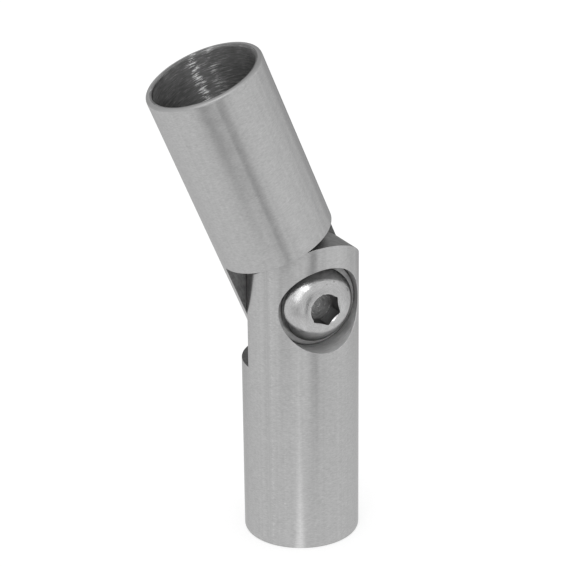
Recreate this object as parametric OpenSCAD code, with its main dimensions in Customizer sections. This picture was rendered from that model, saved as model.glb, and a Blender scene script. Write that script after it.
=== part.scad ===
// Adjustable rod joint: two turned sockets, each with half of a knuckle milled on its
// inner end, clamped together by one button head screw over a spring lock washer.
// Millimetres. The lower socket stands on its mouth at the origin, with +Z up its bore.
// The knuckle bends about a line along Y, and the screw's head faces -Y.

/* [Socket] */
// Diameter of the round rod that slides into each socket
rod_d = 14; // [12.5:0.5:18]
// Slack between the rod and its bore, across the diameter
rod_slack = 0.1; // [0.05:0.05:0.4]
// Thickness of the tube wall around the bore
wall_t = 0.95; // [0.8:0.05:2]
// How deep a rod goes into each socket
socket_depth = 21; // [14:1:40]
// Solid metal left between the end of the bore and the knuckle
web_t = 4.7; // [3:0.1:10]
// Chamfer inside the mouth that leads the rod in
mouth_chamfer = 0.1; // [0.05:0.05:0.6]
// Broken outer edge of the mouth
rim_break = 0.2; // [0.1:0.05:0.5]
// Diameter of the drill point left in the floor of the bore
drill_mark_d = 5; // [2:0.5:8]

/* [Knuckle] */
// How far the bend in the knuckle is set, 0 for a straight joint
bend = 22.8; // [-90:0.1:90]
// How far the round end of each half reaches past the body's radius
lug_reach = 1.1; // [0.4:0.1:3]
// Gap between a round end and the shoulder that it turns past
end_gap = 0.2; // [0.1:0.05:0.6]
// Gap between the two milled flats
flat_gap = 0.06; // [0.02:0.01:0.2]

/* [Clamp screw] */
// Nominal diameter of the screw
screw_d = 6; // [4:0.5:7]
// Diameter of the button head
head_d = 10.3; // [9:0.1:11.5]
// Height of the button head
head_h = 2.9; // [2.5:0.1:4]
// Diameter of the flat on top of the button head
head_flat_d = 6; // [5.2:0.1:7]
// Height of the straight edge around the foot of the head
head_edge_h = 0.45; // [0.2:0.05:0.8]
// Width across the flats of the hexagon socket
hex_af = 4; // [3:0.5:4.5]
// Depth of the hexagon socket
hex_depth = 2.1; // [1.5:0.1:2.4]
// Chamfer around the mouth of the hexagon socket
hex_chamfer = 0.2; // [0.1:0.05:0.3]
// Turn of the hexagon about the screw's line
hex_turn = 40; // [0:1:60]
// How far the top of the head sits below the crown of the body
head_sink = 0.65; // [0:0.05:1]
// How far the tip of the screw stays inside the crown of the other half
tip_recess = 0.6; // [0.3:0.1:2]
// Chamfer on the tip of the screw
tip_chamfer = 0.6; // [0.3:0.1:1]
// Slack all round the screw where it passes through the washer and the half under it
pivot_slack = 0.08; // [0.05:0.01:0.3]
// Slack all round the screw in the tapped half
thread_slack = 0.05; // [0.02:0.01:0.1]
// Countersink around the far end of the tapped hole
tap_countersink = 0.4; // [0.2:0.1:0.8]

/* [Lock washer] */
// Outside diameter of the washer
washer_d = 11.8; // [11.6:0.1:12.5]
// Thickness of the washer
washer_t = 1.6; // [1:0.1:2]
// Slack all round the washer in its seat
seat_slack = 0.1; // [0.05:0.05:0.4]
// Width of the split in the washer
split_w = 0.7; // [0.4:0.1:1.5]
// Lean of the split from the screw's line
split_lean = 25; // [0:5:40]
// Where the split lies, counted round the screw's line
split_turn = 140; // [0:5:355]

/* [Hidden] */
$fn = 120;
eps = 0.01;
cut = 1;
drill_point = 59;
hex_floor_point = 70;

bore_r = (rod_d + rod_slack) / 2;
body_r = bore_r + wall_t;
mouth_r = bore_r + mouth_chamfer;
lug_end_r = body_r + lug_reach;
shoulder_h = socket_depth + web_t;
pivot_h = shoulder_h + lug_end_r + end_gap;
blank_h = pivot_h + lug_end_r + cut;
mill_w = 2 * (body_r + cut);
drill_mark_h = drill_mark_d / 2 / tan(drill_point);

washer_seat = body_r - head_sink - head_h - washer_t;
head_seat = washer_seat + washer_t;
seat_d = washer_d + 2 * seat_slack;
screw_l = head_seat + body_r - tip_recess;
head_edge_r = head_d / 2;
head_flat_r = head_flat_d / 2;
// The dome is an arc centred on the screw's line through the edge and the rim of the flat.
dome_c = (pow(head_edge_r, 2) - pow(head_flat_r, 2) + pow(head_edge_h, 2) - pow(head_h, 2))
    / (2 * (head_edge_h - head_h));
dome_r = norm([head_flat_r, head_h - dome_c]);
dome_from = atan2(head_edge_h - dome_c, head_edge_r);
dome_to = atan2(head_h - dome_c, head_flat_r);
dome_steps = 16;
hex_corner_r = hex_af / 2 / cos(30);
hex_floor_r = hex_af / 2 - eps;
hex_floor_h = hex_floor_r / tan(hex_floor_point);

// Stands its children on the knuckle's line, with their +Z out through the head's side.
module on_pivot() {
    translate([0, 0, pivot_h]) rotate([90, 0, 0]) children();
}

// Leans its children about the knuckle's line by the bend that is set.
module bent() {
    translate([0, 0, pivot_h]) rotate([0, -bend, 0]) translate([0, 0, -pivot_h]) children();
}

// The bar as it comes off the lathe: mouth down, bored, with the far end still round.
module turned_blank() {
    rotate_extrude() polygon([
        [mouth_r, 0],
        [body_r - rim_break, 0],
        [body_r, rim_break],
        [body_r, blank_h],
        [0, blank_h],
        [0, socket_depth + drill_mark_h],
        [drill_mark_d / 2, socket_depth],
        [bore_r, socket_depth],
        [bore_r, mouth_chamfer]
    ]);
}

// What the mill takes off to leave a half lug on the -Y side above a square shoulder.
module half_cutter() {
    translate([-mill_w / 2, -flat_gap / 2, shoulder_h])
        cube([mill_w, mill_w, blank_h + cut - shoulder_h]);
}

// What the mill takes off to round the lug's end about the knuckle's line.
module end_cutter() {
    difference() {
        translate([-mill_w / 2, -mill_w / 2, pivot_h])
            cube([mill_w, mill_w, blank_h + cut - pivot_h]);
        on_pivot() translate([0, 0, -mill_w]) cylinder(r = lug_end_r, h = 2 * mill_w);
    }
}

// One socket with its half knuckle, before the screw's holes.
module half_knuckle() {
    difference() {
        turned_blank();
        half_cutter();
        end_cutter();
    }
}

// The half that the screw's head clamps: a running hole and a flat bottomed seat.
module lower_socket() {
    color([0.70, 0.70, 0.69])
    difference() {
        half_knuckle();
        on_pivot() translate([0, 0, -cut])
            cylinder(r = screw_d / 2 + pivot_slack, h = body_r + 2 * cut);
        on_pivot() translate([0, 0, washer_seat])
            cylinder(d = seat_d, h = body_r + cut - washer_seat);
    }
}

// The tapped half, turned to face the first and leaning by the bend.
module upper_socket() {
    hole_r = screw_d / 2 + thread_slack;
    color([0.70, 0.70, 0.69])
    bent() translate([0, 0, pivot_h]) rotate([180, 0, 0]) translate([0, 0, -pivot_h])
    difference() {
        half_knuckle();
        on_pivot() translate([0, 0, -cut]) cylinder(r = hole_r, h = body_r + 2 * cut);
        on_pivot() translate([0, 0, body_r - tap_countersink])
            cylinder(r1 = hole_r, r2 = hole_r + tap_countersink + cut,
                     h = tap_countersink + cut);
    }
}

// Half outline of the button head, its foot on the X axis.
function head_outline() = concat(
    [[0, 0], [head_edge_r - head_edge_h / 2, 0], [head_edge_r, head_edge_h / 2]],
    [for (i = [0:dome_steps])
        let (a = dome_from + (dome_to - dome_from) * i / dome_steps)
        [dome_r * cos(a), dome_c + dome_r * sin(a)]],
    [[0, head_h]]
);

// The hexagon socket with its chamfered mouth and the shallow cone of its floor.
module hex_socket() {
    translate([0, 0, head_h - hex_depth]) rotate([0, 0, hex_turn])
        cylinder(r = hex_corner_r, h = hex_depth + cut, $fn = 6);
    translate([0, 0, head_h - hex_depth - hex_floor_h])
        cylinder(r1 = 0, r2 = hex_floor_r, h = hex_floor_h + eps);
    translate([0, 0, head_h - hex_chamfer])
        cylinder(r1 = hex_af / 2, r2 = hex_af / 2 + hex_chamfer + cut, h = hex_chamfer + cut);
}

// The screw, with its thread drawn as a plain shank.
module clamp_screw() {
    color([0.78, 0.78, 0.77])
    on_pivot() translate([0, 0, head_seat])
    difference() {
        union() {
            rotate_extrude() polygon(head_outline());
            rotate_extrude() polygon([
                [0, eps],
                [screw_d / 2, eps],
                [screw_d / 2, tip_chamfer - screw_l],
                [screw_d / 2 - tip_chamfer, -screw_l],
                [0, -screw_l]
            ]);
        }
        hex_socket();
    }
}

// The split ring, pressed flat under the head.
module lock_washer() {
    color([0.62, 0.62, 0.62])
    on_pivot() translate([0, 0, washer_seat])
    difference() {
        cylinder(d = washer_d, h = washer_t);
        translate([0, 0, -cut])
            cylinder(r = screw_d / 2 + pivot_slack, h = washer_t + 2 * cut);
        rotate([0, 0, split_turn]) translate([washer_d / 2, 0, washer_t / 2])
            rotate([split_lean, 0, 0])
            cube([washer_d, split_w, 4 * washer_t], center = true);
    }
}

lower_socket();
upper_socket();
clamp_screw();
lock_washer();
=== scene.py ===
"""Looks of an adjustable rod joint: two bored steel sockets that meet in a clamped knuckle.

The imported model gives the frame. Each piece is modelled again here in millimetres, with the
broken edges, tool marks and thread that the plain solids leave out, and stands for its node.
The lower socket stands on its mouth at the origin and the knuckle bends about a line along Y.
"""

import logging
import math
from dataclasses import dataclass, field
from enum import Enum

import bmesh
import bpy
from mathutils import Matrix, Quaternion, Vector


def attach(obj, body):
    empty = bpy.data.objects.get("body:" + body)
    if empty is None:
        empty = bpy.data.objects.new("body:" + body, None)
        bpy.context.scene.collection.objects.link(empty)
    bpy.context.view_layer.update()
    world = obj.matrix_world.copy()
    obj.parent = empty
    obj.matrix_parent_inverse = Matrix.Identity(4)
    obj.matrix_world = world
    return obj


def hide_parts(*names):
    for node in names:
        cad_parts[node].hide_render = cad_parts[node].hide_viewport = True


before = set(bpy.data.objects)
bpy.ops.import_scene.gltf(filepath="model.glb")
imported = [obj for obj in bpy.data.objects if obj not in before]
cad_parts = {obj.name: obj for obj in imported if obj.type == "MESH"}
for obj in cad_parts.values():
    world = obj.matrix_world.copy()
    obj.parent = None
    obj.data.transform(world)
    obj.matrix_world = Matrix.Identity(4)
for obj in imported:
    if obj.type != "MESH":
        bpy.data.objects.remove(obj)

log = logging.getLogger("rod_joint")

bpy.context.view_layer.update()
# The pieces are modelled in millimetres, and the frame is in metres.
MM = 0.001
# Points nearer than this, in millimetres, are one.
SAME_POINT = 1e-4
# A corner that lies this near to a round surface, in millimetres, is taken to be on it.
ON_SURFACE = 0.01
# Least cosine between a facet's normal and the true one where the facet follows the surface.
ALONG_SURFACE = 0.998
# A face whose normal has more than this share along a line faces along it.
FACES_ALONG = 0.7
# Name of the map that the grain follows, and the radius inside which its V shrinks no more.
GRAIN_MAP = "grain"
LEAST_RADIUS = 1.0
# Heights of a tool mark, from 0 to 1, where a painted glint on it starts and where it is full: the mark's
# colour is painted brighter where it would catch the light.
GLINT_HEIGHTS = (0.56, 0.70)
# The same heights on a wall line, which lightens or darkens the colour along a round wall, and how far
# the line lifts the marks along its middle.
LINE_HEIGHTS = (0.56, 0.68)
LINE_LIFT = 0.08
# Turn from the first corner of create_cone to the line that the hexagon's turn is counted from.
CONE_START = 30.0
# How softly a band of the tent ends above and below, in degrees.
BAND_END = 8.0

Profile = list[tuple[float, float]]
Value = bpy.types.NodeSocket | float


class Cut(Enum):
    """What a boolean does with its second shape."""

    REMOVE = "DIFFERENCE"
    ADD = "UNION"


class Marks(Enum):
    """The line that a tool's marks run around or along, which sets a surface's grain."""

    AROUND_TUBE = "around the tube"
    AROUND_SCREW = "around the screw"
    ACROSS_FLAT = "across the flat"


# Shader node trees


class Tree:
    """A thin layer over a node tree, for adding and joining nodes in one line each."""

    def __init__(self, tree: bpy.types.NodeTree) -> None:
        """Starts from an existing node tree.

        Args:
            tree: the tree that the nodes go into.
        """
        self.tree = tree

    def join(self, start: bpy.types.NodeSocket, end: bpy.types.NodeSocket) -> None:
        """Links an output to an input."""
        self.tree.links.new(start, end)

    def add(self, kind: str, inputs: dict | None = None, **settings: object) -> bpy.types.Node:
        """Adds one node.

        Args:
            kind: the node's type name, such as ShaderNodeMath.
            inputs: socket name or index to a value or to another node's output.
            settings: attributes of the node itself.

        Returns:
            The new node.
        """
        node = self.tree.nodes.new(kind)
        for name, value in settings.items():
            setattr(node, name, value)
        for key, value in (inputs or {}).items():
            if isinstance(value, bpy.types.NodeSocket):
                self.join(value, node.inputs[key])
            else:
                node.inputs[key].default_value = value
        return node

    def group(self, name: str, inputs: dict[str, Value]) -> bpy.types.bpy_prop_collection:
        """Places one of the shared groups with its own values and returns its outputs."""
        return self.add("ShaderNodeGroup", inputs, node_tree=GROUPS[name]).outputs

    def math(self, operation: str, a: Value, b: Value = 0.0, c: Value = 0.0) -> bpy.types.NodeSocket:
        """Adds a Math node.

        Args:
            operation: the node's operation.
            a: first value or socket.
            b: second value or socket.
            c: third value or socket, for the operations that have one.

        Returns:
            The output socket.
        """
        return self.add("ShaderNodeMath", {0: a, 1: b, 2: c}, operation=operation).outputs[0]

    def between(self, value: Value, low: Value, high: Value) -> bpy.types.NodeSocket:
        """Adds a smooth step.

        Args:
            value: the value that is judged.
            low: where the step starts. It may be the higher one, and the step then falls.
            high: where it ends.

        Returns:
            The socket of a value that is 0 at low, 1 at high and smooth between them.
        """
        ends = {"Value": value, "From Min": low, "From Max": high}
        return self.add("ShaderNodeMapRange", ends, interpolation_type="SMOOTHSTEP").outputs["Result"]

    def apart(self, turn: Value, home: Value) -> bpy.types.NodeSocket:
        """Returns how far apart two turns are, in degrees, whichever way round is shorter."""
        return self.math("ABSOLUTE", self.math("WRAP", self.math("SUBTRACT", turn, home), 180.0, -180.0))

    def azimuth(self, parts: bpy.types.Node) -> bpy.types.NodeSocket:
        """Returns the azimuth, in degrees, of a vector that is split into parts."""
        ahead = self.math("MULTIPLY", parts.outputs["Y"], -1.0)
        return self.math("MULTIPLY", self.math("ARCTAN2", parts.outputs["X"], ahead), math.degrees(1))

    def around(self) -> bpy.types.NodeSocket:
        """Returns the grain map's V, which runs round a turned wall in millimetres."""
        grain = self.add("ShaderNodeUVMap", uv_map=GRAIN_MAP).outputs["UV"]
        return self.add("ShaderNodeSeparateXYZ", {0: grain}).outputs["Y"]

    def blend(self, share: Value, a: object, b: object) -> bpy.types.NodeSocket:
        """Mixes two colours.

        Args:
            share: how much of the second colour shows, from 0 to 1.
            a: first colour or socket.
            b: second colour or socket.

        Returns:
            The mixed colour's socket.
        """
        return self.add("ShaderNodeMix", {"Factor": share, 6: a, 7: b}, data_type="RGBA").outputs[2]


def grey(level: float) -> tuple[float, float, float, float]:
    """Returns the plain grey of one linear brightness."""
    return (level, level, level, 1.0)


def new_group(
    name: str, inputs: dict[str, float], outputs: list[str]
) -> tuple[bpy.types.NodeTree, Tree, bpy.types.bpy_prop_collection]:
    """Makes an empty shader group with named number sockets.

    Args:
        name: the group's name.
        inputs: input names with their default values.
        outputs: names of the numbers that it puts out.

    Returns:
        The group, a layer for filling it and the sockets of what it is given.
    """
    group = bpy.data.node_groups.new(name, "ShaderNodeTree")
    for label, value in inputs.items():
        socket = group.interface.new_socket(label, in_out="INPUT", socket_type="NodeSocketFloat")
        socket.default_value = value
    for label in outputs:
        group.interface.new_socket(label, in_out="OUTPUT", socket_type="NodeSocketFloat")
    t = Tree(group)
    return group, t, t.add("NodeGroupInput").outputs


def tool_marks() -> bpy.types.NodeTree:
    """Builds the group of fine lines that run along a tool's path, and their slow patches.

    Returns:
        A group with the outputs Height, from fine lines, Glints, the mask of painted glints, 1 on the
        highest of them and 0 elsewhere, and Patches, from 0 to 1.
    """
    sizes = {"Pitch": 0.15, "Reach": 6.0, "Patch": 7.0}
    group, t, given = new_group("tool marks", sizes, ["Height", "Glints", "Patches"])
    place = t.add("ShaderNodeTexCoord").outputs["Object"]
    grain = t.add("ShaderNodeUVMap", uv_map=GRAIN_MAP).outputs["UV"]
    across = t.add("ShaderNodeSeparateXYZ", {0: grain}).outputs["X"]

    def counted_in(size: str) -> bpy.types.NodeSocket:
        """Returns the place counted in one of the group's sizes."""
        scale = t.math("DIVIDE", 1 / MM, given[size])
        return t.add("ShaderNodeVectorMath", {0: place, "Scale": scale}, operation="SCALE").outputs[0]

    turns = t.math("DIVIDE", across, given["Pitch"])
    lines = {"Vector": counted_in("Reach"), "W": turns, "Scale": 1.0, "Detail": 3.0, "Roughness": 0.7}
    height = t.add("ShaderNodeTexNoise", lines, noise_dimensions="4D").outputs["Fac"]
    spots = {"Vector": counted_in("Patch"), "Scale": 1.0, "Detail": 4.0, "Roughness": 0.6}
    patches = t.add("ShaderNodeTexNoise", spots).outputs["Fac"]
    glints = t.between(height, *GLINT_HEIGHTS)
    t.add("NodeGroupOutput", {"Height": height, "Glints": glints, "Patches": patches})
    return group


def nicks() -> bpy.types.NodeTree:
    """Builds the group of sparse small nicks and specks that handling leaves.

    Returns:
        A group with the output Nicks, 1 in a nick and 0 elsewhere.
    """
    sizes = {"Spacing": 3.0, "Size": 0.035, "Share": 0.25}
    group, t, given = new_group("nicks", sizes, ["Nicks"])
    place = t.add("ShaderNodeTexCoord").outputs["Object"]
    scale = t.math("DIVIDE", 1 / MM, given["Spacing"])
    cells = t.add("ShaderNodeTexVoronoi", {"Vector": place, "Scale": scale}, feature="F1")
    near = t.math("LESS_THAN", cells.outputs["Distance"], given["Size"])
    chance = t.add("ShaderNodeSeparateColor", {0: cells.outputs["Color"]}).outputs[0]
    chosen = t.math("LESS_THAN", chance, given["Share"])
    t.add("NodeGroupOutput", {"Nicks": t.math("MULTIPLY", near, chosen)})
    return group


def wall_line() -> bpy.types.NodeTree:
    """Builds the group of one line along a round wall that lightens or darkens the colour, broken up by
    the tool's marks; the bore's lines are a painted highlight.

    Returns:
        A group with the output Light, what the line adds to the shade: up to Change along its
        middle, and 0 past its width.
    """
    sizes = {"Height": 0.5, "Turn": 0.0, "Width": 2.0, "Change": 0.1, "Radius": 8.0}
    group, t, given = new_group("wall line", sizes, ["Light"])
    turn = t.math("DIVIDE", t.math("MULTIPLY", t.around(), math.degrees(1)), given["Radius"])
    middle = t.between(t.apart(turn, given["Turn"]), given["Width"], 0.0)
    raised = t.math("MULTIPLY_ADD", middle, LINE_LIFT, given["Height"])
    full = t.math("MULTIPLY", middle, given["Change"])
    t.add("NodeGroupOutput", {"Light": t.math("MULTIPLY", full, t.between(raised, *LINE_HEIGHTS))})
    return group


GROUPS = {"tool marks": tool_marks(), "nicks": nicks(), "wall line": wall_line()}


# The finishes


@dataclass(frozen=True)
class WallLine:
    """A line along a round wall that lightens or darkens the metal's colour; in the bore it is a painted
    highlight.

    Attributes:
        turn: where it lies about the wall's axis, in degrees from +X.
        width: half its width, in degrees.
        change: how much it lightens the metal; where it is negative, it darkens it.
        radius: the wall's radius, in millimetres.
    """

    turn: float
    width: float
    change: float
    radius: float

    def light(self, t: Tree, height: bpy.types.NodeSocket) -> bpy.types.NodeSocket:
        """Places the line's group and returns what it adds to the shade."""
        sizes = {"Turn": self.turn, "Width": self.width, "Change": self.change, "Radius": self.radius}
        return t.group("wall line", {"Height": height, **sizes})["Light"]


@dataclass(frozen=True)
class Dent:
    """A small dull dent.

    Attributes:
        place: its middle, in millimetres.
        radius: how far it reaches, in millimetres.
        change: how much it darkens the metal.
        core: the share of its radius that is fully dull.
    """

    place: tuple[float, float, float]
    radius: float
    change: float
    core: float = 0.4

    def light(self, t: Tree) -> bpy.types.NodeSocket:
        """Adds the dent's nodes.

        Args:
            t: the material's tree.

        Returns:
            The socket of what it adds to the shade.
        """
        ends = {0: t.add("ShaderNodeTexCoord").outputs["Object"], 1: Vector(self.place) * MM}
        away = t.add("ShaderNodeVectorMath", ends, operation="DISTANCE").outputs["Value"]
        dull = t.between(away, self.radius * MM, self.core * self.radius * MM)
        return t.math("MULTIPLY", dull, self.change)


@dataclass(frozen=True)
class PaintedShade:
    """Painted shade: a slow rise of brightness across a piece, from its shaded side to its lit side.

    Attributes:
        rise: how much is added for each millimetre along X, Y and Z.
        start: the place that it is counted from, in millimetres.
    """

    rise: tuple[float, float, float]
    start: tuple[float, float, float]

    def light(self, t: Tree) -> bpy.types.NodeSocket:
        """Adds the slope's nodes.

        Args:
            t: the material's tree.

        Returns:
            The socket of what it adds to the brightness.
        """
        ends = {0: t.add("ShaderNodeTexCoord").outputs["Object"], 1: Vector(self.start) * MM}
        off = t.add("ShaderNodeVectorMath", ends, operation="SUBTRACT").outputs[0]
        sides = {0: off, 1: Vector(self.rise) / MM}
        return t.add("ShaderNodeVectorMath", sides, operation="DOT_PRODUCT").outputs["Value"]


@dataclass(frozen=True)
class Steel:
    """One finish of stainless steel, from how bright it is to the marks that its tool left.

    Attributes:
        name: the material's name.
        marks: the line that the marks run around or along.
        level: how bright the metal is.
        roughness: how much it spreads a reflection.
        anisotropy: how much more it spreads it across the marks.
        pitch: distance between marks, in millimetres.
        reach: how long one mark is, in millimetres.
        patch: how wide the slow patches are, in millimetres.
        depth: how deep the marks are, in millimetres.
        uneven: how much the patches change the brightness.
        streaks: how much the marks change it.
        glints: how much painted glint the highest marks add to it.
        drawn: how much the streaks along a tube change it.
        lines: lines along a round wall that lighten or darken the colour, such as a painted highlight.
        dents: small dull dents.
        painted_shade: painted shade, a slow rise of brightness across the piece.
        rough_uneven: how much the patches change the roughness.
        edge_tint: how bright a reflection stays at a grazing angle.
        nick_share: how many of the places for a nick have one.
        nick_light: how bright a nick is beside the metal.
    """

    name: str
    marks: Marks
    level: float
    roughness: float
    anisotropy: float = 0.0
    pitch: float = 0.15
    reach: float = 8.0
    patch: float = 7.0
    depth: float = 0.004
    uneven: float = 0.06
    streaks: float = 0.3
    glints: float = 0.0
    drawn: float = 0.0
    lines: tuple[WallLine, ...] = ()
    dents: tuple[Dent, ...] = ()
    painted_shade: PaintedShade | None = None
    rough_uneven: float = 0.05
    edge_tint: float = 0.75
    nick_share: float = 0.2
    nick_light: float = 1.3

    def material(self) -> bpy.types.Material:
        """Makes the finish's material, or returns the one that is already made."""
        return bpy.data.materials.get(self.name) or self._build()

    def _drawn_streaks(self, t: Tree) -> bpy.types.NodeSocket:
        """Adds the faint streaks that run the length of a drawn tube.

        Args:
            t: the material's tree.

        Returns:
            The socket of what they add to the shade.
        """
        streaks = {"W": t.around(), "Scale": 1.7, "Detail": 3.0, "Roughness": 0.6}
        streaks = t.add("ShaderNodeTexNoise", streaks, noise_dimensions="1D").outputs["Fac"]
        return t.math("MULTIPLY", t.math("SUBTRACT", streaks, 0.5), self.drawn)

    def _shade(self, t: Tree, marks: bpy.types.bpy_prop_collection) -> bpy.types.NodeSocket:
        """Joins all that changes how bright the metal is: tool marks, dents and nicks, and the painted
        glints, highlights and shade.

        Args:
            t: the material's tree.
            marks: the outputs of the tool's marks.

        Returns:
            The brightness from place to place.
        """
        height = marks["Height"]
        shade = t.math("MULTIPLY_ADD", marks["Patches"], 2 * self.uneven, 1 - self.uneven)
        shade = t.math("MULTIPLY_ADD", t.math("SUBTRACT", height, 0.5), self.streaks, shade)
        # The highest marks' painted glints, the lines along the wall with the bore's painted highlight
        # among them, the dents and the nicks all change the colour here.
        marks_and_painted_light = t.math("MULTIPLY_ADD", marks["Glints"], self.glints, 1.0)
        added = [self._drawn_streaks(t)] if self.drawn else []
        added += [line.light(t, height) for line in self.lines]
        added += [dent.light(t) for dent in self.dents]
        for change in added:
            marks_and_painted_light = t.math("ADD", marks_and_painted_light, change)
        nick = t.group("nicks", {"Share": self.nick_share})["Nicks"]
        marks_and_painted_light = t.math("MULTIPLY_ADD", nick, self.nick_light - 1, marks_and_painted_light)
        # Painted shade across the piece, where the finish has one, is added to its level.
        level = t.math("ADD", self.painted_shade.light(t), self.level) if self.painted_shade else self.level
        return t.math("MULTIPLY", t.math("MULTIPLY", shade, marks_and_painted_light), level)

    def _build(self) -> bpy.types.Material:
        """Builds the nodes of the finish.

        Returns:
            The new material.
        """
        made = bpy.data.materials.new(self.name)
        made.use_nodes = True
        t = Tree(made.node_tree)
        shader = made.node_tree.nodes["Principled BSDF"].inputs
        marks = t.group("tool marks", {"Pitch": self.pitch, "Reach": self.reach, "Patch": self.patch})
        shader["Metallic"].default_value = 1.0
        shader["Specular Tint"].default_value = grey(self.edge_tint)
        shade = self._shade(t, marks)
        colour = t.add("ShaderNodeCombineColor", {0: shade, 1: shade, 2: shade}).outputs[0]
        t.join(colour, shader["Base Color"])
        smoothest = self.roughness - self.rough_uneven
        rough = t.math("MULTIPLY_ADD", marks["Patches"], 2 * self.rough_uneven, smoothest)
        t.join(rough, shader["Roughness"])
        relief = {"Height": marks["Height"], "Distance": self.depth * MM, "Strength": 1.0}
        t.join(t.add("ShaderNodeBump", relief).outputs[0], shader["Normal"])
        if self.anisotropy:
            shader["Anisotropic"].default_value = self.anisotropy
            tangent = t.add("ShaderNodeTangent", direction_type="UV_MAP", uv_map=GRAIN_MAP)
            t.join(tangent.outputs[0], shader["Tangent"])
        return made


GROUND = Steel(
    "ground round the tube", Marks.AROUND_TUBE, level=0.45, roughness=0.30, anisotropy=0.8,
    pitch=0.12, reach=0.45, patch=1.6, uneven=0.08, streaks=0.75, drawn=0.13,
    # A darker line along the tube, with a lighter one beside it.
    lines=(WallLine(-150.5, 1.8, -0.20, radius=8.0), WallLine(-147.0, 2.0, 0.09, radius=8.0)),
)
BORED = Steel(
    "turned bore", Marks.AROUND_TUBE, level=0.235, roughness=0.55, anisotropy=0.9,
    # Painted glints brighten the colour on the highest marks of the rings.
    pitch=0.17, reach=1.3, patch=2.0, depth=0.02, uneven=0.25, streaks=1.6, glints=0.5, edge_tint=1.0,
    # Painted highlight: the two bright lines down the bore are the lamps' reflection on its rings,
    # painted into the colour.
    lines=(WallLine(-78.7, 10.0, 3.4, radius=7.05), WallLine(-59.7, 12.0, 1.1, radius=7.05)),
)
FACED = Steel(
    "faced mouth", Marks.AROUND_TUBE, level=0.40, roughness=0.48, anisotropy=0.3, patch=2.0, uneven=0.1,
)
MILLED = Steel(
    "milled flat", Marks.ACROSS_FLAT, level=0.15, roughness=0.42, anisotropy=0.4,
    pitch=0.25, reach=0.9, patch=0.8, depth=0.006, uneven=0.5, streaks=1.3,
)
ROUNDED = Steel(
    "milled round end", Marks.AROUND_SCREW, level=0.27, roughness=0.45, anisotropy=0.4,
    pitch=0.3, reach=0.9, patch=0.8, depth=0.006, uneven=0.4, streaks=1.0,
)
SEATED = Steel(
    "counterbored seat", Marks.AROUND_SCREW, level=0.49, roughness=0.50, anisotropy=0.5,
    pitch=0.2, reach=2.0, patch=2.0, uneven=0.3, streaks=0.8,
    # Painted shade: the seat's wall is darker towards the upper left, where it lies in shade, and lighter
    # towards +X and downwards.
    painted_shade=PaintedShade(rise=(0.038, 0.0, -0.038), start=(0.0, 0.0, 35.0)),
)
POLISHED = Steel(
    "polished head", Marks.AROUND_SCREW, level=0.46, roughness=0.21, pitch=0.14, reach=0.5, patch=0.9,
    depth=0.018, uneven=0.12, streaks=0.5, rough_uneven=0.10, nick_light=0.6,
    dents=(
        Dent((3.83, -6.41, 36.82), 0.32, -0.45),
        Dent((3.70, -6.44, 37.16), 0.24, -0.35),
        Dent((1.58, -6.75, 38.52), 0.20, -0.35),
        Dent((0.36, -7.06, 38.44), 0.15, -0.30),
    ),
)
FORGED = Steel(
    "forged hexagon", Marks.AROUND_SCREW, level=0.18, roughness=0.36, depth=0.01,
    reach=1.5, patch=1.5, uneven=0.3,
)
DRILLED = Steel(
    "drilled floor", Marks.AROUND_SCREW, level=0.27, roughness=0.40, depth=0.02,
    # Painted glints: the highest marks on the drilled floor are painted as bright specks.
    reach=0.8, patch=0.6, uneven=0.5, streaks=1.0, glints=1.3,
)
THREADED = Steel("rolled thread", Marks.AROUND_SCREW, level=0.34, roughness=0.28)
SPRUNG = Steel(
    "spring washer", Marks.AROUND_SCREW, level=0.34, roughness=0.42, anisotropy=0.4,
    reach=1.0, patch=0.9, uneven=0.45, streaks=1.0,
)
FINISHES = [GROUND, BORED, FACED, MILLED, ROUNDED, SEATED, POLISHED, FORGED, DRILLED, THREADED, SPRUNG]


def marks_on(body: bpy.types.Object) -> list[Marks]:
    """Returns the marks of the finish in each of a piece's material slots."""
    marks = {steel.name: steel.marks for steel in FINISHES}
    return [marks[material.name] for material in body.data.materials]


# Shaping in bmesh


def rounded(points: Profile, radii: dict[int, float], steps: int) -> Profile:
    """Rounds some corners of a profile.

    Args:
        points: the profile's corners.
        radii: corner index to the length taken off each side of it.
        steps: how many stretches each rounding has.

    Returns:
        The profile with a curve in place of each named corner.
    """
    out: Profile = []
    for i, point in enumerate(points):
        if i not in radii:
            out.append(point)
            continue
        corner = Vector(point)
        before = corner + (Vector(points[i - 1]) - corner).normalized() * radii[i]
        after = corner + (Vector(points[i + 1]) - corner).normalized() * radii[i]
        for k in range(steps + 1):
            s = k / steps
            mixed = before * (1 - s) ** 2 + corner * 2 * s * (1 - s) + after * s * s
            out.append((mixed.x, mixed.y))
    return out


def lathe(profile: Profile, steps: int) -> bmesh.types.BMesh:
    """Turns a profile of radius and height about Z.

    Args:
        profile: the corners, in order, as (radius, height).
        steps: how many facets go round.

    Returns:
        The turned mesh, closed where the profile starts and ends on the axis.
    """
    bm = bmesh.new()
    verts = [bm.verts.new((r, 0, z)) for r, z in profile]
    edges = [bm.edges.new(pair) for pair in zip(verts, verts[1:])]
    bmesh.ops.spin(
        bm, geom=verts + edges, cent=(0, 0, 0), axis=(0, 0, 1), angle=math.tau,
        steps=steps, use_merge=True, use_normal_flip=False, use_duplicate=False,
    )
    bmesh.ops.remove_doubles(bm, verts=bm.verts[:], dist=SAME_POINT)
    bmesh.ops.recalc_face_normals(bm, faces=bm.faces[:])
    return bm


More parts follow.
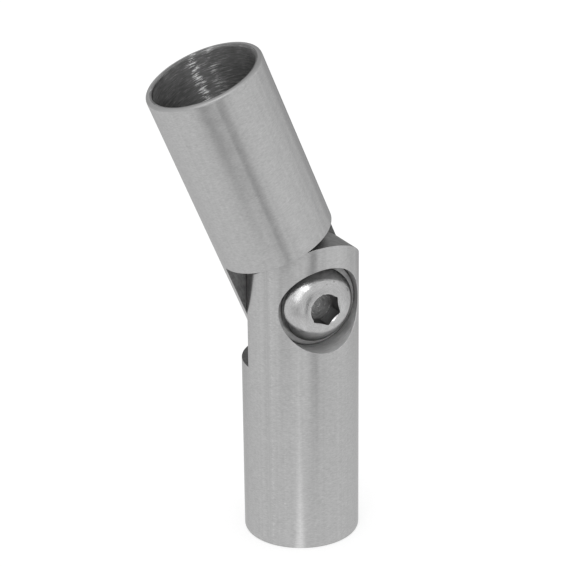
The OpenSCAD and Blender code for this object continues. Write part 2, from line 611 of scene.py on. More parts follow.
def temporary(bm: bmesh.types.BMesh, finish: Steel | None = None) -> bpy.types.Object:
    """Puts a bmesh into an object of its own and frees the bmesh.

    Args:
        bm: the shape.
        finish: the finish that all of it wears, if it has none yet.

    Returns:
        The object, linked to the scene.
    """
    mesh = bpy.data.meshes.new("shape")
    bm.to_mesh(mesh)
    bm.free()
    if finish:
        mesh.materials.append(finish.material())
    made = bpy.data.objects.new("shape", mesh)
    bpy.context.scene.collection.objects.link(made)
    return made


def opened(body: bpy.types.Object) -> bmesh.types.BMesh:
    """Reads an object's mesh into a bmesh.

    Args:
        body: the object.

    Returns:
        A new bmesh, to be given to stored or freed.
    """
    bm = bmesh.new()
    bm.from_mesh(body.data)
    return bm


def stored(bm: bmesh.types.BMesh, body: bpy.types.Object) -> None:
    """Writes a bmesh back to its object and frees it."""
    bm.to_mesh(body.data)
    bm.free()


def carve(body: bpy.types.Object, tool: bpy.types.Object, cut: Cut = Cut.REMOVE) -> None:
    """Cuts or adds a shape with an exact boolean. The new faces wear the tool's finish.

    Args:
        body: the object that is changed.
        tool: the second shape, which is used up.
        cut: what is done with it.
    """
    modifier = body.modifiers.new("cut", "BOOLEAN")
    modifier.operation = cut.value
    modifier.solver = "EXACT"
    modifier.material_mode = "TRANSFER"
    modifier.object = tool
    bpy.context.view_layer.update()
    graph = bpy.context.evaluated_depsgraph_get()
    made = bpy.data.meshes.new_from_object(body.evaluated_get(graph), depsgraph=graph)
    old = body.data
    body.modifiers.remove(modifier)
    body.data = made
    bpy.data.meshes.remove(old)
    used = tool.data
    bpy.data.objects.remove(tool)
    bpy.data.meshes.remove(used)


def break_edges(
    body: bpy.types.Object, least: float, width: float, sharp: float = 25.0, segments: int = 2
) -> None:
    """Joins points closer than a tool's touch and takes the sharpness off every hard edge.

    Args:
        body: the piece, in millimetres.
        least: the least distance between two points.
        width: how far the break reaches to each side.
        sharp: the least angle between two faces that counts as hard, in degrees.
        segments: how many faces go across the break.
    """
    bm = opened(body)
    bmesh.ops.remove_doubles(bm, verts=bm.verts[:], dist=least)
    bmesh.ops.dissolve_degenerate(bm, edges=bm.edges[:], dist=least / 4)
    edges = [
        e for e in bm.edges
        if len(e.link_faces) == 2 and e.calc_face_angle(0.0) > math.radians(sharp)
    ]
    bmesh.ops.bevel(
        bm, geom=edges, offset=width, offset_type="OFFSET", affect="EDGES", segments=segments,
        profile=0.5, clamp_overlap=False, material=-1, loop_slide=False,
    )
    stored(bm, body)


def about_axis(point: Vector, marks: Marks, pivot: float) -> tuple[float, float, float]:
    """Splits a place by the axis that a tool's marks run around.

    Args:
        point: the place, in millimetres.
        marks: the tool's path, around the tube or the screw.
        pivot: height of the screw's line.

    Returns:
        Two distances across the axis and one along it.
    """
    if marks is Marks.AROUND_TUBE:
        return point.x, point.y, point.z
    return point.x, point.z - pivot, point.y


def lay_grain(bm: bmesh.types.BMesh, marks_of: list[Marks], pivot: float) -> None:
    """Writes the map that the grain follows. U runs across the tool's marks, in millimetres.

    Args:
        bm: the mesh, in its upright place, in millimetres.
        marks_of: the tool's path for each material slot.
        pivot: height of the screw's line.
    """
    layer = bm.loops.layers.uv.new(GRAIN_MAP)
    for face in bm.faces:
        marks = marks_of[face.material_index]
        if marks is Marks.ACROSS_FLAT:
            rise = 2 if abs(face.normal.y) > FACES_ALONG else 1
            for loop in face.loops:
                loop[layer].uv = (loop.vert.co.x, loop.vert.co[rise])
            continue
        x, y, _ = about_axis(face.calc_center_median(), marks, pivot)
        home = math.atan2(y, x)
        faces_along = abs(about_axis(face.normal, marks, 0.0)[2]) > FACES_ALONG
        for loop in face.loops:
            x, y, along = about_axis(loop.vert.co, marks, pivot)
            radius = math.hypot(x, y)
            turn = home
            if radius > SAME_POINT:
                turn += math.remainder(math.atan2(y, x) - home, math.tau)
            loop[layer].uv = (radius if faces_along else along, turn * max(radius, LEAST_RADIUS))


@dataclass(frozen=True)
class Round:
    """A cylinder about a line, or a ball where it has no line, that facets stand for."""

    centre: Vector
    radius: float
    line: Vector | None = None

    def normal_at(self, point: Vector, facing: Vector) -> Vector | None:
        """Works out the true normal at a point.

        Args:
            point: where the normal is wanted.
            facing: normal of the widest facet there, which gives the side.

        Returns:
            The normal, or None where the point or the facet isn't on the surface.
        """
        off = point - self.centre
        if self.line:
            off = off - self.line * off.dot(self.line)
        if abs(off.length - self.radius) > ON_SURFACE:
            return None
        lean = off.normalized().dot(facing)
        if abs(lean) < ALONG_SURFACE:
            return None
        return off.normalized() * math.copysign(1.0, lean)


def shade_true(body: bpy.types.Object, rounds: list[Round], faceted: Steel | None = None) -> None:
    """Gives each corner the normal of the real surface that it lies on.

    Args:
        body: the piece, in millimetres.
        rounds: the round surfaces of the piece. Elsewhere wide faces outweigh narrow ones.
        faceted: a finish whose faces keep their own flat normals.
    """
    bm = opened(body)
    normals = []
    for vert in bm.verts:
        widest = max(vert.link_faces, key=lambda f: f.calc_area())
        found = (r.normal_at(vert.co, widest.normal) for r in rounds)
        normal = next((n for n in found if n), None)
        if normal is None:
            parts = (f.normal * f.calc_area() ** 2 for f in vert.link_faces)
            normal = sum(parts, Vector((0, 0, 0))).normalized()
        normals.append(normal)
    bm.free()
    flat = {i for i, m in enumerate(body.data.materials) if faceted and m.name == faceted.name}
    body.data.shade_smooth()
    body.data.normals_split_custom_set([
        face.normal if face.material_index in flat else normals[body.data.loops[i].vertex_index]
        for face in body.data.polygons for i in face.loop_indices
    ])


def finish_piece(
    body: bpy.types.Object, name: str, node: str, rides: str, place: Matrix | None = None
) -> bpy.types.Object:
    """Brings a modelled piece to its place in metres and enters it in the frame.

    Args:
        body: the piece, in millimetres.
        name: the piece's name.
        node: the node that it stands for.
        rides: the body that it moves with.
        place: where it goes, in millimetres, if it was modelled elsewhere.

    Returns:
        The piece.
    """
    body.data.transform(Matrix.Scale(MM, 4) @ (place or Matrix.Identity(4)))
    body.name = name
    body.data.name = name
    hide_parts(node)
    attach(body, rides)
    log.info("%s: %d faces", name, len(body.data.polygons))
    return body


# The pieces


@dataclass(frozen=True)
class Knuckle:
    """The sizes that the pieces share, in millimetres.

    Attributes:
        reach: how far a round end reaches past the bar's radius.
        bend: how far the knuckle is bent, in degrees.
        head_sink: how far the top of the head sits below the bar's crown.
        past: how far a cutter reaches out of the metal.
    """

    body_r: float = 8.0
    bore_r: float = 7.05
    depth: float = 21.0
    web: float = 4.7
    end_gap: float = 0.2
    reach: float = 1.1
    flat_gap: float = 0.06
    bend: float = 22.8
    screw_r: float = 3.0
    pivot_slack: float = 0.08
    thread_slack: float = 0.05
    head_sink: float = 0.65
    head_h: float = 2.9
    washer_t: float = 1.6
    seat_r: float = 6.0
    past: float = 1.0

    @property
    def end_r(self) -> float:
        """Radius of each half's round end about the screw's line."""
        return self.body_r + self.reach

    @property
    def shoulder(self) -> float:
        """Height of the square shoulder above the mouth."""
        return self.depth + self.web

    @property
    def pivot(self) -> float:
        """Height of the screw's line above the mouth."""
        return self.shoulder + self.end_r + self.end_gap

    @property
    def head_seat(self) -> float:
        """How far out along the screw's line the head's foot lies."""
        return self.body_r - self.head_sink - self.head_h

    @property
    def washer_seat(self) -> float:
        """How far out along the screw's line the washer's foot lies."""
        return self.head_seat - self.washer_t

    def leaning(self) -> Matrix:
        """Turns a half over to face the first and leans it by the bend."""
        there = Matrix.Translation((0, 0, self.pivot))
        lean = Matrix.Rotation(math.radians(-self.bend), 4, "Y")
        over = Matrix.Rotation(math.pi, 4, "X")
        return there @ lean @ over @ there.inverted()

    def on_screw(self, bm: bmesh.types.BMesh, out: float = 0.0) -> bmesh.types.BMesh:
        """Turns a shape made about Z onto the screw's line, with its +Z towards -Y.

        Args:
            bm: the shape.
            out: how far out along the line it goes.

        Returns:
            The same shape.
        """
        turn = Matrix.Translation((0, -out, self.pivot)) @ Matrix.Rotation(math.pi / 2, 4, "X")
        bmesh.ops.transform(bm, matrix=turn, verts=bm.verts[:])
        return bm

    def put_on_screw(self, body: bpy.types.Object, out: float) -> None:
        """Moves a piece that was made about Z onto the screw's line and lays its grain.

        Args:
            body: the piece.
            out: how far out along the line it goes.
        """
        bm = self.on_screw(opened(body), out)
        lay_grain(bm, marks_on(body), self.pivot)
        stored(bm, body)

    def rounds(self, *radii: float) -> list[Round]:
        """Lists cylinders of some radii about the screw's line."""
        return [Round(Vector((0, 0, self.pivot)), radius, Vector((0, 1, 0))) for radius in radii]


@dataclass(frozen=True)
class Hole:
    """A round hole on the screw's line, from a depth out through the metal, in millimetres."""

    radius: float
    start: float


@dataclass
class Socket:
    """One turned and bored bar end with its half of the knuckle, in millimetres.

    Attributes:
        place: where it goes from the upright place that it is modelled in.
        rim_break: length taken off each side of the mouth's outer edge.
        mouth_chamfer: length taken off each side of its inner edge.
        faced_share: share of a normal along the bar from which the mouth counts as faced.
        ring_start: plain wall before the first ring of the boring bar and after the last.
        least: least distance between two points.
        seam: height below which the bore is joined to the outside.
    """

    knuckle: Knuckle
    node: str
    rides: str
    holes: tuple[Hole, ...]
    place: Matrix | None = None
    steps: int = 300
    rim_break: float = 0.42
    rim_steps: int = 7
    mouth_chamfer: float = 0.36
    mouth_steps: int = 6
    mouth_land: float = 0.2
    faced_share: float = 0.35
    mark_r: float = 2.5
    drill_point: float = 59.0
    floor_break: float = 0.15
    ring_pitch: float = 0.6
    ring_depth: float = 0.015
    ring_start: float = 0.3
    edge_break: float = 0.07
    least: float = 0.004
    seam: float = 0.05

    @property
    def mouth_r(self) -> float:
        """Radius of the mouth on the end face."""
        return self.knuckle.bore_r + self.mouth_chamfer

    @property
    def waste(self) -> float:
        """Edge of a block that is wider than the bar and longer than the half lug."""
        return 4 * self.knuckle.body_r

    def blank(self) -> bpy.types.Object:
        """Turns the bar's outside.

        Returns:
            The bar end, round along its whole length and still closed at the mouth.
        """
        k = self.knuckle
        top = k.pivot + k.end_r + k.past
        profile = [(0.0, 0.0), (self.mouth_r, 0.0), (k.body_r, 0.0), (k.body_r, top), (0.0, top)]
        return temporary(lathe(rounded(profile, {2: self.rim_break}, self.rim_steps), self.steps), GROUND)

    def block(self, side: float, foot: float) -> bmesh.types.BMesh:
        """Makes a block of what the mill takes off.

        Args:
            side: how far its middle lies along Y.
            foot: height of its lower face.

        Returns:
            The block.
        """
        bm = bmesh.new()
        bmesh.ops.create_cube(bm, size=self.waste)
        bmesh.ops.translate(bm, verts=bm.verts[:], vec=(0, side, foot + self.waste / 2))
        return bm

    def rod(self, radius: float, start: float, end: float) -> bmesh.types.BMesh:
        """Makes a round cutter on the screw's line, between two depths measured towards -Y."""
        bm = lathe([(0, start), (radius, start), (radius, end), (0, end)], self.steps // 2)
        return self.knuckle.on_screw(bm)

    def mill(self, body: bpy.types.Object) -> None:
        """Mills the half's end round about the screw's line, and then its flat and shoulder.

        Args:
            body: the turned bar end.
        """
        k = self.knuckle
        corners = temporary(self.block(0.0, k.pivot), ROUNDED)
        carve(corners, temporary(self.rod(k.end_r, -self.waste, self.waste), ROUNDED))
        carve(body, corners)
        half = self.block((self.waste - k.flat_gap) / 2, k.shoulder)
        carve(body, temporary(half, MILLED))

    def drill(self, body: bpy.types.Object) -> None:
        """Drills the screw's holes out through the half lug.

        Args:
            body: the milled bar end.
        """
        for hole in self.holes:
            rod = self.rod(hole.radius, hole.start, self.knuckle.body_r + self.knuckle.past)
            carve(body, temporary(rod, SEATED))

    def bore_wall(self) -> Profile:
        """Works out the bore's outline, with the shallow rings that the boring bar left.

        Returns:
            Its corners from the mouth to the tip of the drill point.
        """
        k = self.knuckle
        corner = [(self.mouth_r, 0.0), (k.bore_r, 0.0), (k.bore_r, self.mouth_chamfer + self.mouth_land)]
        wall = rounded(corner, {1: self.mouth_chamfer}, self.mouth_steps)
        ringed = k.depth - self.mouth_chamfer - 2 * self.ring_start
        for i in range(int(ringed / self.ring_pitch)):
            low = self.mouth_chamfer + self.ring_start + i * self.ring_pitch
            wall += [(k.bore_r, low), (k.bore_r + self.ring_depth, low + self.ring_pitch / 2)]
        wall += [(k.bore_r, k.depth - self.floor_break), (k.bore_r - self.floor_break, k.depth)]
        tip = k.depth + self.mark_r / math.tan(math.radians(self.drill_point))
        return [*wall, (self.mark_r, k.depth), (0.0, tip)]

    def bore(self, body: bpy.types.Object) -> None:
        """Opens the mouth and joins the turned bore to it.

        Args:
            body: the milled bar end, still closed at the mouth.
        """
        slots = len(body.data.materials)
        for steel in (BORED, FACED):
            body.data.materials.append(steel.material())
        held = bpy.data.meshes.new("bore")
        inner = lathe(self.bore_wall(), self.steps)
        inner.to_mesh(held)
        inner.free()
        bm = opened(body)
        lid = [
            face for face in bm.faces
            if face.calc_center_median().z < SAME_POINT
            and all(v.co.xy.length < self.mouth_r + ON_SURFACE for v in face.verts)
        ]
        bmesh.ops.delete(bm, geom=lid, context="FACES")
        for face in bm.faces:
            if abs(face.normal.z) > self.faced_share and face.calc_center_median().z < self.rim_break:
                face.material_index = slots + 1
        outside = set(bm.faces)
        bm.from_mesh(held)
        bpy.data.meshes.remove(held)
        for face in set(bm.faces) - outside:
            face.material_index = slots
        mouth = [v for v in bm.verts if v.co.z < self.seam]
        bmesh.ops.remove_doubles(bm, verts=mouth, dist=ON_SURFACE)
        loose = [v for v in bm.verts if not v.link_faces]
        bmesh.ops.delete(bm, geom=loose, context="VERTS")
        bmesh.ops.recalc_face_normals(bm, faces=bm.faces[:])
        lay_grain(bm, marks_on(body), self.knuckle.pivot)
        stored(bm, body)

    def build(self) -> bpy.types.Object:
        """Turns, mills, drills and bores the piece.

        Returns:
            The finished piece.
        """
        k = self.knuckle
        body = self.blank()
        self.mill(body)
        self.drill(body)
        break_edges(body, self.least, self.edge_break)
        self.bore(body)
        tube = Round(Vector((0, 0, 0)), k.body_r, Vector((0, 0, 1)))
        shade_true(body, [tube, *k.rounds(k.end_r, *(hole.radius for hole in self.holes))])
        return finish_piece(body, self.node + "_steel", self.node, self.rides, self.place)


@dataclass
class Screw:
    """The button head screw with its hexagon socket and M6 thread, in millimetres.

    Attributes:
        edge_h: height of the dome's foot.
        crease: length taken off each side of the flat's rim.
        foot: corners of the broken foot, as how far in from the edge and how high.
        drill_h: depth of the cone in the hexagon's floor.
        drill_gap: how far inside the hexagon's flats that cone ends.
        clear: how far a fine cutter reaches out of the metal.
        overlap: how far the shank reaches into the head.
        touch: least distance between two points.
    """

    knuckle: Knuckle
    head_r: float = 5.15
    flat_r: float = 3.0
    edge_h: float = 0.8
    crease: float = 0.75
    foot: tuple[tuple[float, float], ...] = ((0.3, 0.0), (0.05, 0.12), (0.0, 0.25))
    hex_af: float = 4.0
    hex_depth: float = 2.1
    hex_chamfer: float = 0.20
    hex_turn: float = 40.0
    drill_h: float = 0.7
    drill_gap: float = 0.02
    tip_recess: float = 0.6
    tip_chamfer: float = 0.6
    pitch: float = 1.0
    thread_depth: float = 0.54
    thread_root: float = 0.25
    thread_steps: int = 36
    plain_neck: float = 0.8
    clear: float = 0.1
    overlap: float = 0.05
    touch: float = 0.01
    edge_break: float = 0.03
    edge_sharp: float = 30.0
    steps: int = 192
    dome_steps: int = 24
    crease_steps: int = 12

    @property
    def dome(self) -> tuple[float, float]:
        """Centre height and radius of the dome's arc, measured from the head's foot."""
        low, high = self.edge_h, self.knuckle.head_h
        centre = (self.head_r**2 - self.flat_r**2 + low**2 - high**2) / (2 * (low - high))
        return centre, math.hypot(self.flat_r, high - centre)

    def head(self) -> bpy.types.Object:
        """Turns the head, with a broken foot and a soft rim round the flat.

        Returns:
            The head, standing on its foot about Z.
        """
        top = self.knuckle.head_h
        centre, radius = self.dome
        first = math.atan2(self.edge_h - centre, self.head_r)
        last = math.atan2(top - centre, self.flat_r)
        turns = (first + (last - first) * i / self.dome_steps for i in range(self.dome_steps + 1))
        arc = [(radius * math.cos(a), centre + radius * math.sin(a)) for a in turns]
        dome = [point for point in arc if point[0] > self.flat_r + self.crease]
        foot = [(self.head_r - inset, height) for inset, height in self.foot]
        profile = [(0.0, 0.0), *foot, *dome, (self.flat_r, top), (0.0, top)]
        rim = len(profile) - 2
        profile = rounded(profile, {rim: self.crease}, self.crease_steps)
        return temporary(lathe(profile, self.steps), POLISHED)

    def hexagon(self) -> bmesh.types.BMesh:
        """Makes the punch that presses the hexagon.

        Returns:
            A six-sided prism that reaches out past the flat.
        """
        corner = self.hex_af / 2 / math.cos(math.pi / 6)
        tall = self.hex_depth + self.knuckle.past
        rise = Matrix.Translation((0, 0, self.knuckle.head_h - self.hex_depth + tall / 2))
        turn = Matrix.Rotation(math.radians(self.hex_turn + CONE_START), 4, "Z")
        bm = bmesh.new()
        bmesh.ops.create_cone(
            bm, cap_ends=True, segments=6, radius1=corner, radius2=corner, depth=tall, matrix=rise @ turn,
        )
        return bm

    def groove(self, length: float) -> bmesh.types.BMesh:
        """Winds the thread's groove as a cutter about Z, from below the tip to the plain neck.

        Args:
            length: how far the shank reaches below the head.

        Returns:
            The groove's solid.
        """
        screw_r = self.knuckle.screw_r
        inner, outer = screw_r - self.thread_depth, screw_r + self.clear
        root = self.thread_root / 2
        mouth = root + (outer - inner) * math.tan(math.pi / 6)
        start = -length - self.pitch
        sides = [(inner, -root), (outer, -mouth), (outer, mouth), (inner, root)]
        bm = bmesh.new()
        face = bm.faces.new([bm.verts.new((r, 0, start + z)) for r, z in sides])
        turns = (length + self.pitch - self.plain_neck) / self.pitch
        steps = round(turns * self.thread_steps)
        bmesh.ops.spin(
            bm, geom=[*face.verts, *face.edges, face], cent=(0, 0, 0), axis=(0, 0, 1),
            angle=turns * math.tau, dvec=(0, 0, self.pitch * turns / steps), steps=steps,
            use_merge=False, use_duplicate=False,
        )
        bmesh.ops.recalc_face_normals(bm, faces=bm.faces[:])
        return bm

    def shank(self) -> bpy.types.Object:
        """Turns the shank and cuts its thread.

        Returns:
            The shank, hanging below the head's foot about Z.
        """
        k = self.knuckle
        length = k.head_seat + k.body_r - self.tip_recess
        tip = k.screw_r - self.tip_chamfer
        side = [(tip, -length), (k.screw_r, self.tip_chamfer - length), (k.screw_r, self.overlap)]
        profile = [(0, -length), *side, (0, self.overlap)]
        made = temporary(lathe(profile, self.steps // 2), THREADED)
        carve(made, temporary(self.groove(length), THREADED))
        return made

    def cone(self, low_r: float, high_r: float, low: float, high: float) -> bmesh.types.BMesh:
        """Makes a cone about Z between two heights."""
        return lathe([(0, low), (low_r, low), (high_r, high), (0, high)], self.steps // 2)

    def build(self) -> bpy.types.Object:
        """Turns the head, punches the hexagon and adds the shank.

        Returns:
            The finished piece.
        """
        k = self.knuckle
        body = self.head()
        floor, inside = k.head_h - self.hex_depth, self.hex_af / 2
        carve(body, temporary(self.hexagon(), FORGED))
        drilled = self.cone(0.0, inside - self.drill_gap, floor - self.drill_h, floor + self.touch)
        carve(body, temporary(drilled, DRILLED))
        low, grown = k.head_h - self.hex_chamfer, self.hex_chamfer + 2 * self.clear
        chamfer = self.cone(inside, inside + grown, low, low + grown)
        carve(body, temporary(chamfer, POLISHED))
        break_edges(body, self.touch, self.edge_break, self.edge_sharp)
        carve(body, self.shank(), Cut.ADD)
        k.put_on_screw(body, k.head_seat)
        centre, radius = self.dome
        shade_true(body, [Round(Vector((0, -k.head_seat - centre, k.pivot)), radius)], THREADED)
        return finish_piece(body, "button_head_screw", "clamp_screw", "screw")


@dataclass
class LockWasher:
    """The split spring washer, pressed flat under the head."""

    knuckle: Knuckle
    outer_r: float = 5.95
    split_w: float = 0.7
    split_lean: float = 25.0
    split_turn: float = 140.0
    edge_break: float = 0.12
    edge_steps: int = 3
    touch: float = 0.01
    steps: int = 192

    def split(self) -> bmesh.types.BMesh:
        """Makes the leaning blade that splits the ring.

        Returns:
            A block that reaches through the ring on one side.
        """
        thick = self.knuckle.washer_t
        lean = Matrix.Rotation(math.radians(self.split_lean), 4, "X")
        turn = Matrix.Rotation(math.radians(self.split_turn), 4, "Z")
        size = Matrix.Diagonal((2 * self.outer_r, self.split_w, 4 * thick, 1))
        place = Matrix.Translation((self.outer_r, 0, thick / 2))
        bm = bmesh.new()
        bmesh.ops.create_cube(bm, size=1, matrix=turn @ place @ lean @ size)
        return bm

    def build(self) -> bpy.types.Object:
        """Turns the ring, cuts its split and breaks its edges.

        Returns:
            The finished piece.
        """
        k = self.knuckle
        inner_r = k.screw_r + k.pivot_slack
        ring = [(inner_r, 0.0), (self.outer_r, 0.0), (self.outer_r, k.washer_t), (inner_r, k.washer_t)]
        body = temporary(lathe([*ring, ring[0]], self.steps), SPRUNG)
        carve(body, temporary(self.split(), SPRUNG))
        break_edges(body, self.touch, self.edge_break, segments=self.edge_steps)
        k.put_on_screw(body, k.washer_seat)
        shade_true(body, k.rounds(self.outer_r, inner_r))
        return finish_piece(body, "spring_washer", "lock_washer", "washer")


# The studio


@dataclass(frozen=True)
class Direction:
    """A direction seen from the object, in degrees. Azimuth 0 is towards -Y and rises towards +X."""

    azimuth: float
    elevation: float

    def vector(self) -> Vector:
        """Returns the unit vector that points that way."""
        a, e = math.radians(self.azimuth), math.radians(self.elevation)
        return Vector((math.sin(a) * math.cos(e), -math.cos(a) * math.cos(e), math.sin(e)))


@dataclass(frozen=True)
class Band:
    """An upright stripe of the surroundings that gloss sees darker or lighter than the rest.

    Attributes:
        azimuth: where its middle is, in degrees.
        half_width: half the width of its full part.
        soft: how wide the fade at each side is.
        change: how much it adds to or takes off the brightness.
        foot: elevation of its lower end.
        top: elevation of its upper end.
    """

    azimuth: float
    half_width: float
    soft: float
    change: float
    foot: float = -90.0
    top: float = 90.0

    def light(self, t: Tree, turn: Value, rise: Value) -> bpy.types.NodeSocket:
        """Adds the band's nodes.

        Args:
            t: the world's tree.
            turn: azimuth of the way that is looked.
            rise: its elevation.

        Returns:
            What the brightness that way is multiplied by.
        """
        past = t.between(t.apart(turn, self.azimuth), self.half_width, self.half_width + self.soft)
        above = t.between(rise, self.top, self.top + BAND_END)
        below = t.between(rise, self.foot, self.foot - BAND_END)
        outside = t.math("MAXIMUM", past, t.math("MAXIMUM", above, below))
        return t.math("MULTIPLY_ADD", outside, -self.change, 1 + self.change)


BANDS = [
    Band(-1, 2.5, 5, -0.72, top=6),
    Band(-27, 7, 17, -0.78, top=-32),
    Band(-8, 1.5, 3, 0.35, foot=-48, top=-26),
    Band(-54, 8, 10, -0.30, foot=-30, top=-8),
    Band(-9, 2, 4, -0.25, foot=-22, top=12),
    Band(-21, 3, 4, 0.30, foot=-25, top=-8),
    Band(-12, 10, 22, -0.12, top=14),
    Band(21, 1.5, 5, -0.16, top=14),
    Band(45, 28, 14, -0.06, foot=-16, top=10),
    Band(42, 20, 12, 0.20, foot=-40, top=-24),
    Band(-97, 1.0, 3, -0.20),
    Band(-87, 1.0, 3, 0.08),
    Band(98, 8, 14, -0.18),
    Band(106, 1.5, 4, 0.45),
    Band(140, 22, 22, -0.32, foot=-18),
    Band(152, 11, 10, -0.38, foot=-25, top=4),
    Band(180, 25, 25, -0.30, foot=-14, top=40),
]


@dataclass
class Studio:
    """A pale tent with one long soft light at the upper left, a small bright lamp and a white floor."""

    target: Vector = field(default_factory=lambda: Vector((0, 0, 35 * MM)))
    fill: float = 0.8
    tent: float = 1.0
    folds: float = 0.10
    folds_a_degree: float = 0.12
    lamp_distance: float = 0.45
    key_top: Direction = Direction(-14, 72)
    key_foot: Direction = Direction(-54, 8)
    key_width: float = 0.085
    key_watts: float = 0.27
    spark: Direction = Direction(-28, 43)
    spark_size: float = 0.024
    spark_watts: float = 0.12
    floor_size: float = 3.0
    floor_paint: float = 0.5
    floor_rough: float = 0.9
    floor_glow: float = 0.62
    near: float = 52 * MM
    far: float = 100 * MM
    shine_azimuth: float = -30.0
    shine_width: float = 4.0
    shine_light: float = 0.45

    def world(self) -> None:
        """Makes the pale surroundings, white to the lens, with upright bands for gloss."""
        world = bpy.data.worlds.new("tent")
        bpy.context.scene.world = world
        world.use_nodes = True
        t = Tree(world.node_tree)
        back = world.node_tree.nodes["Background"]
        parts = t.add("ShaderNodeSeparateXYZ", {0: t.add("ShaderNodeTexCoord").outputs["Generated"]})
        turn = t.azimuth(parts)
        rise = t.math("MULTIPLY", t.math("ARCSINE", parts.outputs["Z"]), math.degrees(1))
        folds = {"W": t.math("MULTIPLY", turn, self.folds_a_degree), "Scale": 1.0, "Detail": 3.0}
        folds = t.add("ShaderNodeTexNoise", folds, noise_dimensions="1D").outputs["Fac"]
        level = t.math("MULTIPLY_ADD", folds, 2 * self.folds, self.tent - self.folds)
        for band in BANDS:
            level = t.math("MULTIPLY", level, band.light(t, turn, rise))
        tent = t.add("ShaderNodeCombineColor", {0: level, 1: level, 2: level}).outputs[0]
        seen = t.add("ShaderNodeLightPath").outputs
        shown = t.blend(seen["Is Glossy Ray"], grey(self.fill), tent)
        shown = t.blend(seen["Is Camera Ray"], shown, grey(1.0))
        t.join(shown, back.inputs["Color"])
        back.inputs["Strength"].default_value = 1.0

    def lamp(self, name: str, watts: float, way: Vector, turn: Quaternion) -> bpy.types.Light:
        """Hangs one flat lamp.

        Args:
            name: the lamp's name.
            watts: its power.
            way: the direction from the object in which it hangs.
            turn: how it is turned. Its back is its +Z.

        Returns:
            The light, whose shape and size are still to be set.
        """
        light = bpy.data.lights.new(name, "AREA")
        light.energy = watts
        made = bpy.data.objects.new(name, light)
        made.rotation_euler = turn.to_euler()
        made.location = self.target + way * self.lamp_distance
        bpy.context.scene.collection.objects.link(made)
        return light

    def key(self) -> None:
        """Hangs the long soft panel whose ends lie in the two named directions."""
        top, foot = self.key_top.vector(), self.key_foot.vector()
        back = (top + foot).normalized()
        up = (top - foot - back * (top - foot).dot(back)).normalized()
        turn = Matrix((up.cross(back), up, back)).transposed()
        light = self.lamp("key", self.key_watts, back, turn.to_quaternion())
        light.shape = "RECTANGLE"
        light.size = self.key_width
        light.size_y = 2 * self.lamp_distance * math.tan(top.angle(foot) / 2)

    def glint(self) -> None:
        """Hangs the small bright lamp that picks out the rings in the bore."""
        way = self.spark.vector()
        light = self.lamp("spark", self.spark_watts, way, way.to_track_quat("Z", "Y"))
        light.shape = "DISK"
        light.size = self.spark_size

    def floor_gloss(self, t: Tree) -> bpy.types.NodeSocket:
        """Adds the floor as gloss sees it: pale near the object, with one bright streak.

        Args:
            t: the floor's tree.

        Returns:
            The shader, which is clear far from the object, where gloss sees the tent.
        """
        place = t.add("ShaderNodeTexCoord").outputs["Object"]
        away = t.add("ShaderNodeVectorMath", {0: place}, operation="LENGTH").outputs["Value"]
        off = t.apart(t.azimuth(t.add("ShaderNodeSeparateXYZ", {0: place})), self.shine_azimuth)
        streak = t.between(off, 2 * self.shine_width, self.shine_width / 2)
        streak = t.math("MULTIPLY", streak, t.between(away, self.near, self.near / 4))
        light = t.math("MULTIPLY_ADD", streak, self.shine_light, self.tent)
        lit = t.add("ShaderNodeEmission", {"Color": grey(1.0), "Strength": light})
        clear = t.add("ShaderNodeBsdfTransparent")
        both = {0: t.between(away, self.near, self.far), 1: lit.outputs[0], 2: clear.outputs[0]}
        return t.add("ShaderNodeMixShader", both).outputs[0]

    def floor(self) -> None:
        """Lays the white floor, which is white to the lens and plain to the light."""
        bm = bmesh.new()
        bmesh.ops.create_grid(bm, x_segments=1, y_segments=1, size=self.floor_size)
        made = temporary(bm)
        made.name = "floor"
        paint = bpy.data.materials.new("white floor")
        paint.use_nodes = True
        made.data.materials.append(paint)
        t = Tree(paint.node_tree)
        seen = t.add("ShaderNodeLightPath").outputs
        shader = paint.node_tree.nodes["Principled BSDF"]
        shader.inputs["Base Color"].default_value = grey(self.floor_paint)
        shader.inputs["Roughness"].default_value = self.floor_rough
        shader.inputs["Specular IOR Level"].default_value = 0.0
        shader.inputs["Emission Color"].default_value = grey(1.0)
        glow = t.math("MULTIPLY", seen["Is Camera Ray"], self.floor_glow)
        t.join(glow, shader.inputs["Emission Strength"])
        both = {0: seen["Is Glossy Ray"], 1: shader.outputs[0], 2: self.floor_gloss(t)}
        both = t.add("ShaderNodeMixShader", both).outputs[0]
        t.join(both, paint.node_tree.nodes["Material Output"].inputs["Surface"])

    def build(self) -> None:
        """Sets up the surroundings, the lamps, the floor and the colour management."""
        self.world()
        self.floor()
        self.key()
        self.glint()
        bpy.context.scene.view_settings.view_transform = "Standard"


@dataclass
class PhotoCamera:
    """The camera that took the photo, as fitted to the object's outline. Pictures are in pixels."""

    place: Vector = field(default_factory=lambda: Vector((-124.797, -235.463, 142.016)) * MM)
    target: Vector = field(default_factory=lambda: Vector((0, 0, 34.286)) * MM)
    roll: float = -0.524
    picture: float = 567.0
    focal: float = 2123.404
    centre: tuple[float, float] = (16.167, 13.269)
    sensor: float = 36.0
    nearest: float = 0.01
    furthest: float = 20.0

    def build(self) -> None:
        """Creates the camera and makes it the scene's own."""
        lens = bpy.data.cameras.new("photo camera")
        lens.sensor_width = self.sensor
        lens.lens = self.focal / self.picture * self.sensor
        lens.shift_x = -self.centre[0] / self.picture
        lens.shift_y = self.centre[1] / self.picture
        lens.clip_start = self.nearest
        lens.clip_end = self.furthest
        made = bpy.data.objects.new("photo camera", lens)
        look = (self.target - self.place).to_track_quat("-Z", "Y").to_matrix()
        turn = look @ Matrix.Rotation(math.radians(self.roll), 3, "Z")
        made.matrix_world = Matrix.Translation(self.place) @ turn.to_4x4()
        bpy.context.scene.collection.objects.link(made)
        bpy.context.scene.camera = made


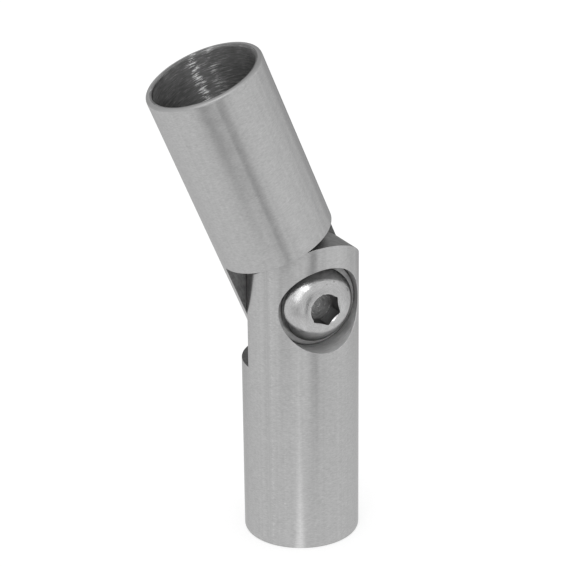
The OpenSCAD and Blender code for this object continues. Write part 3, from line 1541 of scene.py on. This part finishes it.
def main() -> None:
    """Builds the pieces in order, then the studio and the camera."""
    logging.basicConfig(level=logging.INFO, format="%(name)s: %(message)s")
    k = Knuckle()
    running = Hole(k.screw_r + k.pivot_slack, -k.past)
    tapped = Hole(k.screw_r + k.thread_slack, -k.past)
    seat = Hole(k.seat_r, k.washer_seat)
    Socket(k, "lower_socket", "lower", (running, seat)).build()
    Socket(k, "upper_socket", "upper", (tapped,), k.leaning()).build()
    LockWasher(k).build()
    Screw(k).build()
    Studio().build()
    PhotoCamera().build()


if __name__ == "__main__":
    main()
